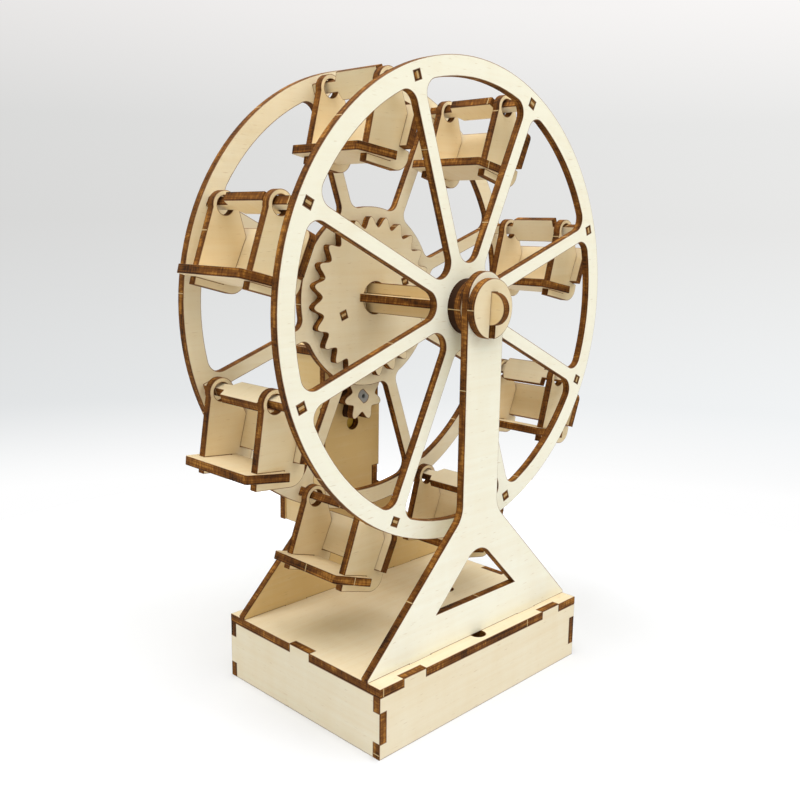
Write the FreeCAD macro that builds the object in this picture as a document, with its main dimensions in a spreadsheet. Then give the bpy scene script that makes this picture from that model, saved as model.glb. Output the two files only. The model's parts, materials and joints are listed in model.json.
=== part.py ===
# Motor-driven ferris wheel kit, laser-cut from plywood, in millimetres.
# Origin: middle of the kit's extent, on the ground. +Z up, -Y the front, the wheel turns about Y.
# Plates are sketched in the plane they are cut from and padded by the plywood's thickness.
import FreeCAD, Part
import Sketcher
import math
import os
import re

V = FreeCAD.Vector
doc = FreeCAD.newDocument("ferris_wheel")
sheet = doc.addObject("Spreadsheet::Sheet", "Sheet")

# Driving sizes: name, value, meaning
SIZES = (
    ("ply", 3.0, "thickness of every plywood plate"),
    ("slot_gap", 0.05, "clearance beside a tab in its slot"),
    ("running_gap", 0.08, "radial clearance of a turning fit"),
    ("side_gap", 0.3, "clearance beside a turning or sliding piece"),
    # Base box
    ("base_width", 110.0, "outer width of the base"),
    ("base_depth", 82.0, "outer depth of the base"),
    ("base_height", 25.0, "height of the base with its top"),
    ("long_tab_inset", 16.5, "tabs of the long walls, from the base's sides"),
    ("base_tab", 10.8, "length of a base tab"),
    ("finger_start", 5.5, "corner finger, from the wall's lower and upper edges"),
    ("front_ledge", 5.9, "base top in front of the front support"),
    ("peep_hole_out", 0.7, "front hole in the base top, before the front support"),
    ("peep_hole_radius", 2.9, "front hole in the base top"),
    ("wire_hole_room", 4.1, "wire hole in the base top, from the battery case"),
    ("wire_hole_radius", 2.75, "wire hole in the base top"),
    # Supports
    ("support_tab_inset", 25.0, "foot tabs, from the base's sides"),
    ("toe_height", 1.0, "upright edge at the end of a foot"),
    ("leg_slope", 45.0, "slope of the legs in degrees"),
    ("front_column", 9.5, "half width of the front column and of both heads"),
    ("column_margin", 0.75, "rear column beyond the housing's side walls"),
    ("leg_fillet", 10.0, "fillet from a leg to the column"),
    ("head_rise", 3.2, "centre of the rounded head above the axle"),
    ("leg_width", 14.21, "legs of the front support beside its window"),
    ("window_sill", 13.9, "window sill above the base top"),
    ("window_apex_radius", 7.9, "rounding of the window's apex"),
    # Wheel and hub
    ("ground_room", 12.7, "lowest cabin above the base top"),
    ("wheel_radius", 83.3, "outer radius of both wheels"),
    ("rim_width", 6.8, "rim of both wheels"),
    ("rim_ligament", 0.85, "rim inside the holes of the pivot bars"),
    ("spoke_width", 5.0, "width of a spoke"),
    ("spoke_count", 8, "spokes and gondolas"),
    ("hub_round", 5.4, "rounding of a window's inner end, front wheel"),
    ("rim_round", 5.0, "rounding of a window's outer corners"),
    ("hub_margin", 3.6, "hub disc of the rear wheel beyond the gears"),
    ("rear_hub_round", 4.0, "rounding of the windows at the rear hub disc"),
    ("first_spoke", 22.5, "angle of the first spoke in the wheel"),
    ("wheel_turn", -2.9, "angle of the wheel at rest"),
    ("blade_half", 5.7, "half width of an axle blade in a hub"),
    ("blade_wide", 8.2, "half width of the flat blade between the wheels"),
    ("spacer_radius", 9.8, "hub spacer discs"),
    ("front_play", 0.2, "play between spacers and front support"),
    ("rear_play", 0.6, "play between spacer and rear support"),
    ("retainer_radius", 10.4, "retaining discs on the axle's ends"),
    # Gears
    ("tooth_module", 2.4, "diameter of a gear's middle circle for each tooth"),
    ("gear_teeth", 24, "teeth of each wheel gear"),
    ("tooth_rise", 2.0, "height of a wheel gear's tooth, half of it"),
    ("peg_place", 17.2, "gear pegs from the axle"),
    ("pinion_teeth", 7, "teeth of the pinion"),
    ("pinion_rise", 1.6, "pinion tooth outside its middle circle"),
    ("pinion_fall", 1.9, "pinion tooth inside its middle circle"),
    ("mesh_gap", 2.2, "between the middle circles of gear and pinion"),
    ("pinion_turn", -173.4, "angle of a pinion tooth at rest"),
    # Motor and its housing
    ("shaft_radius", 2.7, "round of the motor shaft"),
    ("shaft_flat", 3.7, "distance across the shaft's flats"),
    ("shaft_turn", -45.0, "angle of the shaft's flats at rest"),
    ("shaft_bore_radius", 0.9, "screw hole in the shaft's end"),
    ("shaft_bore_depth", 8.0, "screw hole in the shaft's end"),
    ("shaft_reach", 2.8, "motor shaft behind the gearbox"),
    ("shaft_hole_gap", 0.7, "hole in the rear support around the shaft"),
    ("gearbox_width", 22.0, "motor gearbox, side to side"),
    ("gearbox_depth", 18.8, "motor gearbox, front to back"),
    ("gearbox_length", 37.0, "motor gearbox, top to bottom"),
    ("gearbox_round", 2.0, "rounded edges of the gearbox"),
    ("shaft_from_top", 11.7, "shaft below the gearbox's top"),
    ("can_inset", 1.0, "motor can inside the gearbox's sides"),
    ("can_flat", 15.4, "distance across the motor can's flats"),
    ("can_length", 27.0, "motor can"),
    ("can_boss_radius", 3.1, "bearing boss of the motor can"),
    ("can_boss_length", 1.6, "bearing boss of the motor can"),
    ("peg_hole_drop", 11.6, "locating peg below the shaft"),
    ("peg_hole_gap", 0.9, "hole around the locating peg"),
    ("motor_peg_radius", 2.0, "locating peg of the gearbox"),
    ("motor_peg_length", 0.9, "locating peg of the gearbox"),
    ("gearbox_gap", 0.1, "clearance between gearbox and housing walls"),
    ("back_room", 4.1, "clear depth of the housing behind the gearbox"),
    ("roof_room", 4.3, "clear height of the housing above the gearbox"),
    ("housing_length", 71.5, "height of the housing walls"),
    ("upper_tab", 10.1, "upper wall tab"),
    ("upper_tab_drop", 10.3, "upper wall tab below the housing top"),
    ("lower_tab", 10.3, "lower wall tab"),
    ("lower_tab_drop", 47.7, "lower wall tab below the housing top"),
    ("roof_tab", 10.0, "tab of a housing wall in the housing top"),
    # Gondolas, each about its own pivot
    ("near_room", 9.5, "front wheel to a cabin's near side plate"),
    ("far_room", 4.8, "rear wheel to a cabin's far side plate"),
    ("hang", 0.65, "centre of a side plate's eye below the pivot bar"),
    ("head_wall", 1.6, "head of a side plate around its eye"),
    ("front_edge_top", 4.4, "front edge of a side plate at its head"),
    ("front_edge_low", 5.7, "front edge of a side plate at the floor"),
    ("head_drop", 2.3, "start of the straight edges below the pivot"),
    ("elbow_out", 10.3, "back corner of a side plate, behind the pivot"),
    ("elbow_drop", 8.3, "back corner of a side plate, below the pivot"),
    ("elbow_round", 1.5, "rounding of the back corner"),
    ("back_lean", 9.0, "lean of the back plate in degrees"),
    ("seat_length", 11.5, "length of the back plate's seat on a side plate"),
    ("skirt_out", 13.4, "lower rear edge of a side plate"),
    ("skirt_round", 5.5, "rounded lower rear corner of a side plate"),
    ("skirt_below", 2.6, "side plate below the floor"),
    ("back_to_floor", 2.54, "floor below the back plate"),
    ("floor_front", 9.8, "front edge of the floor"),
    ("floor_wing", 5.0, "rear end of the floor's wings"),
    ("floor_back", 7.4, "rear edge of the floor"),
    ("near_corner_out", 0.05, "front corner of the floor beyond the near side plate"),
    ("far_corner_out", 2.35, "front corner of the floor beyond the far side plate"),
    ("wing_out", 2.95, "floor wings beyond the side plates"),
    ("floor_round", 1.2, "rounded front corners of the floor"),
    ("back_out", 3.15, "back plate beyond the side plates"),
    ("back_rise", 3.2, "back plate above the back corner"),
    ("back_round", 3.0, "rounded top corners of the back plate"),
    ("bar_half", 4.7, "half width of a pivot bar between the side plates"),
    ("neck_half", 1.9, "half width of a pivot bar in a side plate's eye"),
    ("bar_slope", 1.5, "length of the sloped rear shoulder of a pivot bar"),
    ("cabin_play", 3.8, "travel of a gondola along its pivot bar"),
    # Battery case under the base top
    ("case_gap", 5.0, "battery case from the base's left wall"),
    ("case_length", 66.0, "battery case, side to side"),
    ("case_width", 33.0, "battery case, front to back"),
    ("case_wall", 1.5, "wall of the battery case and its cover"),
    ("cell_side_room", 0.4, "clearance beside each battery cell"),
    ("cell_top_room", 0.8, "clearance above the battery cells"),
    ("knob_length", 2.5, "switch knob along its travel"),
    ("knob_width", 4.0, "switch knob across its travel"),
    ("knob_reach", 1.4, "switch knob below the cover"),
    ("flange_length", 6.5, "switch slider inside the case"),
    ("flange_width", 7.5, "switch slider inside the case"),
    ("flange_height", 1.2, "switch slider inside the case"),
    ("switch_travel", 3.0, "travel of the switch"),
    ("switch_inset", 1.0, "switch slider from the battery cells"),
    ("switch_room", 2.45, "switch slider from the case's end, when it is on"),
)

# Resting tilt of each hanging gondola in degrees, counter-clockwise from the first spoke
GONDOLA_TILTS = (12.0, 15.0, 10.0, 15.0, 5.0, 16.5, 12.0, 12.0)
# How far forward each gondola has slid along its pivot bar, as a share of its travel
GONDOLA_SLIDES = (0.5, 0.3, 0.0, 0.0, 0.0, 0.0, 0.0, 1.0)
# A pivot bar's flat faces lie across its spoke at 0 and along it at 90
BAR_TURNS = (90.0, 90.0, 0.0, 0.0, 0.0, 90.0, 90.0, 90.0)

# Sizes and places that follow from the driving sizes
DERIVED = {
    "wall_height": "base_height - ply",
    "finger_end": "wall_height - finger_start",
    "long_tab_place": "base_width / 2 - long_tab_inset",
    "support_tab_place": "base_width / 2 - support_tab_inset",
    "peep_hole_place": "base_depth / 2 - front_ledge + peep_hole_out",
    "wire_hole_place": "case_place + case_length / 2 + wire_hole_room",
    "wheel_gap": "base_depth - 2 * (front_ledge + 4 * ply + front_play)",
    "wheel_face": "wheel_gap / 2 + ply",
    "front_support_face": "-(wheel_face + 3 * ply + front_play)",
    "rear_support_face": "wheel_face + 2 * ply + rear_play",
    "rear_support_back": "rear_support_face + ply",
    "front_retainer_face": "front_support_face - front_play - ply",
    "rear_retainer_face": "rear_support_back + front_play",
    "window_radius": "wheel_radius - rim_width",
    "rim_middle": "(window_radius + wheel_radius) / 2",
    "pivot_radius": "window_radius + rim_ligament + slot_gap + ply / 2",
    "spoke_apex": "spoke_width / 2 / sin(180 / spoke_count)",
    "blade_corner": "sqrt(blade_half * blade_half + ply * ply / 4)",
    "axle_height": "base_height + ground_room + skirt_drop + pivot_radius",
    "head_height": "axle_height + head_rise - base_height",
    "gear_middle": "tooth_module * gear_teeth / 2",
    "gear_tip": "gear_middle + tooth_rise",
    "gear_root": "gear_middle - tooth_rise",
    "gear_bore": "blade_corner + side_gap",
    "rear_hub_radius": "gear_tip + hub_margin",
    "pinion_middle": "tooth_module * pinion_teeth / 2",
    "pinion_tip": "pinion_middle + pinion_rise",
    "pinion_root": "pinion_middle - pinion_fall",
    "pinion_face": "wheel_face + side_gap",
    "motor_height": "axle_height - gear_middle - pinion_middle - mesh_gap",
    "gearbox_top": "motor_height + shaft_from_top",
    "gearbox_bottom": "gearbox_top - gearbox_length",
    "shaft_hole": "shaft_radius + shaft_hole_gap",
    "peg_hole_radius": "motor_peg_radius + peg_hole_gap",
    "can_radius": "gearbox_width / 2 - can_inset",
    "housing_half": "gearbox_width / 2 + gearbox_gap + ply",
    "housing_depth": "gearbox_depth + back_room",
    "housing_back_face": "rear_support_back + housing_depth",
    "housing_roof": "gearbox_top + roof_room",
    "housing_floor": "housing_roof - housing_length",
    "upper_tab_high": "housing_roof - upper_tab_drop",
    "upper_tab_low": "upper_tab_high - upper_tab",
    "lower_tab_high": "housing_roof - lower_tab_drop",
    "lower_tab_low": "lower_tab_high - lower_tab",
    "rear_column": "housing_half + column_margin",
    "column_foot": "toe_height + (base_width / 2 - front_column) * tan(leg_slope)",
    "rear_column_foot": "toe_height + (base_width / 2 - rear_column) * tan(leg_slope)",
    "sill_inset": "(window_sill - toe_height) / tan(leg_slope)",
    "window_half": "base_width / 2 - sill_inset - leg_width / sin(leg_slope)",
    "window_apex": "window_sill + window_half * tan(leg_slope)",
    "eye_radius": "sqrt(neck_half * neck_half + ply * ply / 4) + hang + running_gap",
    "head_radius": "eye_radius + head_wall",
    "elbow_reach": "sqrt(elbow_out * elbow_out + (elbow_drop - hang) * (elbow_drop - hang))",
    "head_turn": "acos(head_radius / elbow_reach) - atan((elbow_drop - hang) / elbow_out)",
    "cabin_width": "wheel_gap - near_room - far_room",
    "cabin_shift": "(near_room - far_room) / 2",
    "cabin_inside": "cabin_width / 2 - ply",
    "seat_foot_out": "elbow_out - seat_length * sin(back_lean)",
    "seat_foot_drop": "elbow_drop + seat_length * cos(back_lean)",
    "skirt_top": "seat_foot_drop + (skirt_out - seat_foot_out) * tan(back_lean)",
    "floor_drop": "seat_foot_drop + back_to_floor",
    "skirt_drop": "floor_drop + ply + skirt_below",
    "foremost": "front_retainer_face - blade_half",
    "rearmost": "housing_back_face + ply",
    "depth_middle": "(foremost + rearmost) / 2",
    "case_place": "case_gap + case_length / 2 + ply - base_width / 2",
    "switch_bay": "switch_inset + flange_length + switch_travel + switch_room",
    "cell_length": "case_length - 2 * case_wall - slot_gap - switch_bay",
    "cell_radius": "case_width / 4 - case_wall / 2 - cell_side_room",
    "case_depth": "2 * cell_radius + case_wall + cell_top_room",
    "case_floor": "base_height - ply - case_depth",
    "cells_end": "case_place - case_length / 2 + case_wall + slot_gap + cell_length",
    "knob_place": "cells_end + switch_inset + flange_length / 2",
}

for line, (alias, amount, meaning) in enumerate(SIZES, start=1):
    sheet.set("A%d" % line, meaning)
    sheet.set("B%d" % line, str(amount))
    sheet.setAlias("B%d" % line, alias)
doc.recompute()
CELLS = {alias for alias, amount, meaning in SIZES}


def bound(text):
    """An expression on the sheet's cells, from plain names of sizes and places."""
    def swap(match):
        word = match.group()
        if word in DERIVED:
            return "(" + bound(DERIVED[word]) + ")"
        return "Sheet." + word if word in CELLS else word
    return re.sub(r"[a-z][a-z_]*", swap, str(text))


def number(text):
    """The present value of an expression."""
    result = sheet.evalExpression(bound(text))
    return float(getattr(result, "Value", result))


def count(text):
    return int(round(number(text)))


def place(piece, across="0", depth="0", height="0", turn="0"):
    """Puts a piece at a point, turned about the Y axis; depths count from the base's middle."""
    text = "placement(vector(%s; %s - depth_middle; %s); rotation(vector(0; 1; 0); %s))"
    piece.setExpression("Placement", bound(text % (across, depth, height, turn)))
    return piece


def label(piece, name):
    piece.Label = name
    return piece


# Sketched pieces

def new_body(name, plane="XZ_Plane"):
    """An empty body and the role of the plane it is drawn on."""
    body = doc.addObject("PartDesign::Body", name)
    body.Label = name
    return body, plane


def sketch_on(body, plane, title, lift=None):
    sketch = body.newObject("Sketcher::SketchObject", title)
    origin = [item for item in body.Origin.OriginFeatures if item.Role == plane][0]
    sketch.AttachmentSupport = (origin, [""])
    sketch.MapMode = "FlatFace"
    if lift:
        sketch.setExpression("AttachmentOffset.Base.z", bound(lift))
    return sketch


def tie(sketch, kind, geometry, point, text):
    """A dimension from the sketch's origin to a point, bound to the sheet."""
    dimension = Sketcher.Constraint(kind, -1, 1, geometry, point, number(text))
    index = sketch.addConstraint(dimension)
    sketch.setExpression("Constraints[%d]" % index, bound(text))


def draw_polygon(sketch, points):
    corners = [V(number(across), number(up), 0) for across, up in points]
    first = sketch.GeometryCount
    count = len(corners)
    for index in range(count):
        end = corners[(index + 1) % count]
        sketch.addGeometry(Part.LineSegment(corners[index], end), False)
    for index in range(count):
        following = first + (index + 1) % count
        sketch.addConstraint(Sketcher.Constraint("Coincident", first + index, 2, following, 1))
    for index, (across, up) in enumerate(points):
        tie(sketch, "DistanceX", first + index, 1, across)
        tie(sketch, "DistanceY", first + index, 1, up)


def draw_rectangle(sketch, across, up, width, height):
    left = "(%s) - (%s) / 2" % (across, width)
    right = "(%s) + (%s) / 2" % (across, width)
    low = "(%s) - (%s) / 2" % (up, height)
    high = "(%s) + (%s) / 2" % (up, height)
    draw_polygon(sketch, [(left, low), (right, low), (right, high), (left, high)])


def draw_circle(sketch, across, up, radius):
    centre = V(number(across), number(up), 0)
    index = sketch.addGeometry(Part.Circle(centre, V(0, 0, 1), number(radius)), False)
    tie(sketch, "DistanceX", index, 3, across)
    tie(sketch, "DistanceY", index, 3, up)
    constraint = sketch.addConstraint(Sketcher.Constraint("Radius", index, number(radius)))
    sketch.setExpression("Constraints[%d]" % constraint, bound(radius))


def pad(body, sketch, length="ply", middle=False):
    """Pads towards +X, +Y or +Z, or to both sides of the sketch."""
    feature = body.newObject("PartDesign::Pad", "Pad")
    feature.Profile = sketch
    feature.setExpression("Length", bound(length))
    upright = abs(sketch.getGlobalPlacement().Rotation.multVec(V(0, 0, 1)).y) > 0.5
    feature.Reversed = upright and not middle
    feature.SideType = "Symmetric" if middle else "One side"
    return feature


def pocket(body, sketch):
    feature = body.newObject("PartDesign::Pocket", "Pocket")
    feature.Profile = sketch
    feature.Type = "ThroughAll"
    feature.SideType = "Symmetric"
    return feature


def polar(body, feature, sketch):
    """Repeats a feature once for each spoke."""
    pattern = body.newObject("PartDesign::PolarPattern", "PolarPattern")
    pattern.Originals = [feature]
    pattern.Axis = (sketch, ["N_Axis"])
    pattern.Angle = 360
    pattern.setExpression("Occurrences", bound("spoke_count"))
    body.Tip = pattern
    return pattern


def round_edges(body, radius, wanted, length="ply"):
    """Rounds the straight edges of a length whose middle passes the test."""
    doc.recompute()
    base = body.Tip
    names = []
    for index, edge in enumerate(base.Shape.Edges, start=1):
        if edge.Curve.TypeId != "Part::GeomLine":
            continue
        if near(edge.Length, length) and wanted(edge.CenterOfMass):
            names.append("Edge%d" % index)
    fillet = body.newObject("PartDesign::Fillet", "Fillet")
    fillet.Base = (base, names)
    fillet.setExpression("Radius", bound(radius))
    body.Tip = fillet
    return fillet


def near(value, text, slack=0.01):
    return abs(value - number(text)) < slack


def notched_edge(points, tabs, level, rise, inward):
    """Adds tabs, named by middle and length, along an edge drawn right to left."""
    for middle, length in tabs:
        points.append(("%s + %s / 2" % (middle, length), level))
        points.append(("%s + %s / 2" % (middle, length), "%s + %s" % (level, rise)))
        points.append(("%s - %s / 2" % (middle, length), "%s + %s" % (level, rise)))
        points.append(("%s - %s / 2" % (middle, length), level))
    return points + inward


# Base box

def base_wall(name, plane, reach, finger_reach, tabs):
    """A wall with corner fingers; reach is its half length beside them."""
    body, plane = new_body(name, plane)
    sketch = sketch_on(body, plane, name + "_outline")
    right = [("-(%s)" % reach, "0"), (reach, "0"), (reach, "finger_start"),
             (finger_reach, "finger_start"), (finger_reach, "finger_end"),
             (reach, "finger_end"), (reach, "wall_height")]
    left = [("-(%s)" % reach, "wall_height"), ("-(%s)" % reach, "finger_end"),
            ("-(%s)" % finger_reach, "finger_end"), ("-(%s)" % finger_reach, "finger_start"),
            ("-(%s)" % reach, "finger_start")]
    draw_polygon(sketch, notched_edge(right, tabs, "wall_height", "ply", left))
    pad(body, sketch)
    return body


def base_box():
    long_tabs = [("long_tab_place", "base_tab"), ("-long_tab_place", "base_tab")]
    short_tabs = [("0", "base_tab")]
    wide = "base_width / 2"
    deep = "base_depth / 2"
    front = base_wall("base_front_wall", "XZ_Plane", wide, wide + " - ply", long_tabs)
    place(front, depth="-base_depth / 2")
    rear = base_wall("base_rear_wall", "XZ_Plane", wide, wide + " - ply", long_tabs)
    place(rear, depth="base_depth / 2 - ply")
    left = base_wall("base_left_wall", "YZ_Plane", deep + " - ply", deep, short_tabs)
    place(left, across="-base_width / 2")
    right = base_wall("base_right_wall", "YZ_Plane", deep + " - ply", deep, short_tabs)
    place(right, across="base_width / 2 - ply")
    return [front, rear, left, right, base_top()]


def base_top():
    body, plane = new_body("base_top", "XY_Plane")
    sketch = sketch_on(body, plane, "base_top_outline")
    draw_rectangle(sketch, "0", "0", "base_width", "base_depth")
    pad(body, sketch)
    holes = sketch_on(body, plane, "base_top_holes")
    length = "base_tab + 2 * slot_gap"
    for side in ("-1", "1"):
        middle = side + " * long_tab_place"
        for end in ("-1", "1"):
            draw_rectangle(holes, middle, end + " * base_depth / 2", length, "2 * ply")
        draw_rectangle(holes, side + " * base_width / 2", "0", "2 * ply", length)
        foot = side + " * support_tab_place"
        draw_rectangle(holes, foot, "front_support_face + ply / 2", length, "ply")
        draw_rectangle(holes, foot, "rear_support_face + ply / 2", length, "ply")
    draw_circle(holes, "0", "-peep_hole_place", "peep_hole_radius")
    draw_circle(holes, "wire_hole_place", "0", "wire_hole_radius")
    pocket(body, holes)
    return place(body, height="wall_height")


# Supports

def support_outline(column_half, column_foot, shoulder):
    """An A-shaped plate that stands on foot tabs; shoulder steps in to the head."""
    left_tab = [("-support_tab_place - base_tab / 2", "0"),
                ("-support_tab_place - base_tab / 2", "-ply"),
                ("-support_tab_place + base_tab / 2", "-ply"),
                ("-support_tab_place + base_tab / 2", "0")]
    right_tab = [("support_tab_place - base_tab / 2", "0"),
                 ("support_tab_place - base_tab / 2", "-ply"),
                 ("support_tab_place + base_tab / 2", "-ply"),
                 ("support_tab_place + base_tab / 2", "0")]
    rising = [("base_width / 2", "0"), ("base_width / 2", "toe_height"),
              (column_half, column_foot)] + shoulder + [("front_column", "head_height")]
    falling = [("-(%s)" % across, up) for across, up in reversed(rising)]
    return left_tab + right_tab + rising + falling


def front_support():
    body, plane = new_body("front_support")
    outline = sketch_on(body, plane, "front_support_outline")
    draw_polygon(outline, support_outline("front_column", "column_foot", []))
    pad(body, outline)
    head = sketch_on(body, plane, "front_support_head")
    draw_circle(head, "0", "head_height", "front_column")
    pad(body, head)
    window = sketch_on(body, plane, "front_support_window")
    draw_polygon(window, [("-window_half", "window_sill"), ("window_half", "window_sill"),
                          ("0", "window_apex")])
    pocket(body, window)
    hole = sketch_on(body, plane, "front_support_bearing")
    draw_circle(hole, "0", "axle_height - base_height", "blade_corner + running_gap")
    pocket(body, hole)
    round_edges(body, "leg_fillet", lambda at: near(at.z, "column_foot"))
    round_edges(body, "window_apex_radius", lambda at: near(at.z, "window_apex"))
    return place(body, depth="front_support_face", height="base_height")


def rear_support():
    body, plane = new_body("rear_support")
    outline = sketch_on(body, plane, "rear_support_outline")
    shoulder = [("rear_column", "housing_roof + ply - base_height"),
                ("front_column", "housing_roof + ply - base_height")]
    draw_polygon(outline, support_outline("rear_column", "rear_column_foot", shoulder))
    pad(body, outline)
    head = sketch_on(body, plane, "rear_support_head")
    draw_circle(head, "0", "head_height", "front_column")
    pad(body, head)
    holes = sketch_on(body, plane, "rear_support_holes")
    draw_circle(holes, "0", "axle_height - base_height", "blade_corner + running_gap")
    draw_circle(holes, "0", "motor_height - base_height", "shaft_hole")
    draw_circle(holes, "0", "motor_height - base_height - peg_hole_drop", "peg_hole_radius")
    pocket(body, holes)
    slots = sketch_on(body, plane, "rear_support_slots")
    wall_tab_slots(slots, "base_height", "rear_column")
    pocket(body, slots)
    return place(body, depth="rear_support_face", height="base_height")


def wall_tab_slots(sketch, datum, outer):
    """Slots for the housing walls' tabs, open at the plate's edge."""
    for side in ("-", ""):
        for low, high in (("lower_tab_low", "lower_tab_high"), ("upper_tab_low", "upper_tab_high")):
            middle = "(%s + %s) / 2 - %s" % (low, high, datum)
            height = "%s - %s + 2 * slot_gap" % (high, low)
            inner = "housing_half - ply - slot_gap"
            width = "%s - (%s)" % (outer, inner)
            draw_rectangle(sketch, side + "(%s + (%s) / 2)" % (inner, width), middle, width, height)


# Motor housing

def housing_wall(name, side):
    """A side wall; its tabs pass through the rear support, the back and the top."""
    body, plane = new_body(name, "YZ_Plane")
    sketch = sketch_on(body, plane, name + "_outline")
    front = "rear_support_back"
    back = "housing_back_face"
    middle = "rear_support_back + housing_depth / 2"
    tabs = (("lower_tab_low", "lower_tab_high"), ("upper_tab_low", "upper_tab_high"))
    points = [(front, "housing_floor"), (back, "housing_floor")]
    for low, high in tabs:
        points += [(back, low), (back + " + ply", low), (back + " + ply", high), (back, high)]
    points += [(back, "housing_roof")]
    points = notched_edge(points, [(middle, "roof_tab")], "housing_roof", "ply",
                          [(front, "housing_roof")])
    for low, high in reversed(tabs):
        points += [(front, high), (front + " - ply", high), (front + " - ply", low), (front, low)]
    draw_polygon(sketch, points)
    pad(body, sketch)
    return place(body, across="-housing_half" if side < 0 else "housing_half - ply")


def housing_top():
    body, plane = new_body("housing_top", "XY_Plane")
    sketch = sketch_on(body, plane, "housing_top_outline")
    depth = "housing_depth + ply"
    draw_rectangle(sketch, "0", "rear_support_back + (%s) / 2" % depth, "2 * rear_column", depth)
    pad(body, sketch)
    slots = sketch_on(body, plane, "housing_top_slots")
    for side in ("-", ""):
        draw_rectangle(slots, side + "(housing_half - ply / 2)",
                       "rear_support_back + housing_depth / 2",
                       "ply + 2 * slot_gap", "roof_tab + 2 * slot_gap")
    pocket(body, slots)
    return place(body, height="housing_roof")


def housing_back():
    body, plane = new_body("housing_back")
    sketch = sketch_on(body, plane, "housing_back_outline")
    height = "housing_roof - housing_floor"
    draw_rectangle(sketch, "0", "(%s) / 2" % height, "2 * rear_column", height)
    pad(body, sketch)
    slots = sketch_on(body, plane, "housing_back_slots")
    wall_tab_slots(slots, "housing_floor", "rear_column")
    pocket(body, slots)
    return place(body, depth="housing_back_face", height="housing_floor")


# Motor

def box(name, across, depth, height, width, length, rise):
    """A block from its middle in X, its front in Y and its underside in Z."""
    block = doc.addObject("Part::Box", name)
    block.setExpression("Length", bound(width))
    block.setExpression("Width", bound(length))
    block.setExpression("Height", bound(rise))
    return place(block, "(%s) - (%s) / 2" % (across, width), depth, height)


def rod(name, axis, radius, length, across="0", depth="0", height="0"):
    """A cylinder along an axis, from the middle of its first end."""
    cylinder = doc.addObject("Part::Cylinder", name)
    cylinder.setExpression("Radius", bound(radius))
    cylinder.setExpression("Height", bound(length))
    turns = {"x": "vector(0; 1; 0); 90", "y": "vector(1; 0; 0); -90", "z": "vector(0; 0; 1); 0"}
    text = "placement(vector(%s; %s - depth_middle; %s); rotation(%s))"
    cylinder.setExpression("Placement", bound(text % (across, depth, height, turns[axis])))
    return cylinder


def combine(kind, name, first, second):
    result = doc.addObject("Part::" + kind, name)
    result.Base = first
    result.Tool = second
    return result


def gearbox():
    body, plane = new_body("motor_gearbox", "XY_Plane")
    sketch = sketch_on(body, plane, "gearbox_outline")
    draw_rectangle(sketch, "0", "gearbox_depth / 2", "gearbox_width", "gearbox_depth")
    pad(body, sketch, "gearbox_length")
    peg = sketch_on(body, "XZ_Plane", "gearbox_peg", "motor_peg_length")
    draw_circle(peg, "0", "gearbox_length - shaft_from_top - peg_hole_drop", "motor_peg_radius")
    pad(body, peg, "motor_peg_length + gearbox_depth / 2")
    bore = sketch_on(body, "XZ_Plane", "gearbox_bore")
    draw_circle(bore, "0", "gearbox_length - shaft_from_top", "shaft_radius + running_gap")
    pocket(body, bore)
    round_edges(body, "gearbox_round", lambda at: True, "gearbox_length")
    return place(body, depth="rear_support_back", height="gearbox_bottom")


def motor_can():
    """A round can with two flats and a bearing boss below it."""
    middle = "rear_support_back + gearbox_depth / 2"
    bottom = "gearbox_bottom - can_length"
    drum = rod("can_round", "z", "can_radius", "can_length", "0", middle, bottom)
    flats = box("can_flats", "0", middle + " - can_flat / 2", bottom,
                "2 * can_radius", "can_flat", "can_length")
    can = combine("Common", "can_body", drum, flats)
    boss = rod("can_boss", "z", "can_boss_radius", "can_boss_length", "0", middle,
               bottom + " - can_boss_length")
    return label(combine("Fuse", "motor_can_piece", can, boss), "motor_can")


def flat_sided_rod(name, radius, across_flats, face, length):
    """A rod along Y with two flats, turned as the motor shaft stands."""
    drum = rod(name + "_round", "y", radius, length, "0", "depth_middle")
    flats = box(name + "_flats", "0", "depth_middle", "-(%s) / 2" % across_flats,
                "2 * (%s)" % radius, length, across_flats)
    return place(combine("Common", name, drum, flats), "0", face, "motor_height", "-shaft_turn")


def motor_shaft():
    """Flat-sided as far as the gearbox and round inside it, with a screw hole in its end."""
    neck = flat_sided_rod("shaft_end", "shaft_radius", "shaft_flat", "pinion_face",
                          "rear_support_back - pinion_face")
    core = rod("shaft_core", "y", "shaft_radius", "gearbox_depth + shaft_reach",
               "0", "rear_support_back", "motor_height")
    solid = combine("Fuse", "shaft_solid", neck, core)
    bore = rod("shaft_bore", "y", "shaft_bore_radius", "2 * shaft_bore_depth",
               "0", "pinion_face - shaft_bore_depth", "motor_height")
    return label(combine("Cut", "shaft_piece", solid, bore), "motor_shaft")


# Gears

def wavy_plate(teeth, tip, root, first_tip):
    """A plate whose edge is a cosine wave of teeth about the Y axis."""
    points = []
    steps = 8 * teeth
    for step in range(steps):
        angle = 2 * math.pi * step / steps
        wave = math.cos(teeth * (angle - math.radians(first_tip)))
        radius = (tip + root) / 2 + (tip - root) / 2 * wave
        points.append(V(radius * math.cos(angle), 0, radius * math.sin(angle)))
    curve = Part.BSplineCurve()
    curve.interpolate(Points=points, PeriodicFlag=True)
    face = Part.Face(Part.Wire(curve.toShape()))
    plate = face.extrude(V(0, number("ply"), 0))
    return Part.Solid(plate.Shells[0]) if plate.ShapeType != "Solid" else plate


def peg_places():
    """The two gear pegs lie on the first spoke's line."""
    angle = math.radians(number("first_spoke"))
    for side in (1, -1):
        reach = side * number("peg_place")
        yield V(reach * math.cos(angle), 0, reach * math.sin(angle))


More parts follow.
